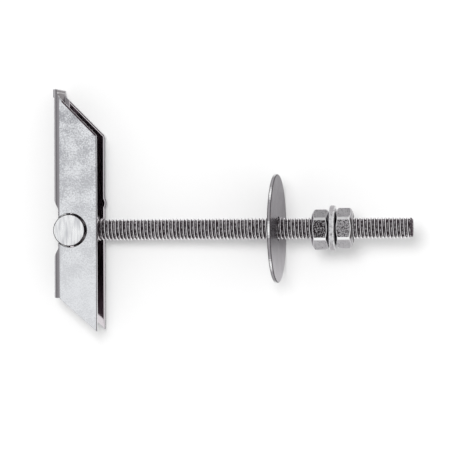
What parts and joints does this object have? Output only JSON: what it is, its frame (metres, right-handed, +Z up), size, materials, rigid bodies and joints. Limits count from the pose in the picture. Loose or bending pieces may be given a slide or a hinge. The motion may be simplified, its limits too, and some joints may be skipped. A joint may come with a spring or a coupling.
{
  "type": "gravity toggle",
  "caption": "Hollow-wall fixing: a folded steel channel that swings on a cross barrel at the end of a threaded stud, with a wide washer, hex nuts and a flat washer.",
  "frame": {"origin": "on the surface that the toggle lies on, under the middle of its box", "axes": "+X along the stud towards its free end, seen from above; +Y towards the channel's long arm; +Z up"},
  "size_m": [0.0994, 0.067, 0.0297],
  "materials": {
    "folded_sheet": "zinc-plated sheet, cool grey, faintly mottled",
    "turned_barrel": "zinc-plated bar, ends faced with fine cutting lines",
    "rolled_stud": "zinc-plated rolled thread",
    "large_washer": "zinc-plated stamped sheet, satin",
    "hex_nuts": "zinc-plated, flats rough from forming",
    "flat_washer": "zinc-plated, tumbled"
  },
  "bodies": {
    "stud": {"threaded_stud": "rolled_stud", "pivot_barrel": "turned_barrel"},
    "toggle": {"toggle_channel": "folded_sheet"},
    "large_washer": {"large_washer": "large_washer"},
    "inner_nut": {"inner_nut": "hex_nuts"},
    "flat_washer": {"flat_washer": "flat_washer"},
    "outer_nut": {"outer_nut": "hex_nuts"}
  },
  "joints": [
    {"name": "channel_swing", "type": "hinge", "parent": "stud", "child": "toggle", "pos_m": [-0.04447, -0.0055, 0.00827], "axis": [-0.112, 0, 0.9937], "range_deg": [-89.65, 90.35]},
    {"name": "large_washer_slide", "type": "slide", "parent": "stud", "child": "large_washer", "axis": [0.9937, 0, 0.112], "range_m": [-0.0165, 0.0035]},
    {"name": "inner_nut_travel", "type": "slide", "parent": "stud", "child": "inner_nut", "axis": [0.9937, 0, 0.112], "range_m": [-0.005, 0]},
    {"name": "flat_washer_slide", "type": "slide", "parent": "stud", "child": "flat_washer", "axis": [0.9937, 0, 0.112], "range_m": [0, 0.015]},
    {"name": "outer_nut_turn", "type": "hinge", "parent": "flat_washer", "child": "outer_nut", "pos_m": [0.03071, -0.0055, 0.01674], "axis": [0.9937, 0, 0.112], "range_deg": [0, 5405]}
  ],
  "couplings": [
    {"joint": "outer_nut_turn", "follows": "flat_washer_slide", "rad_per_m": 6283.2}
  ]
}
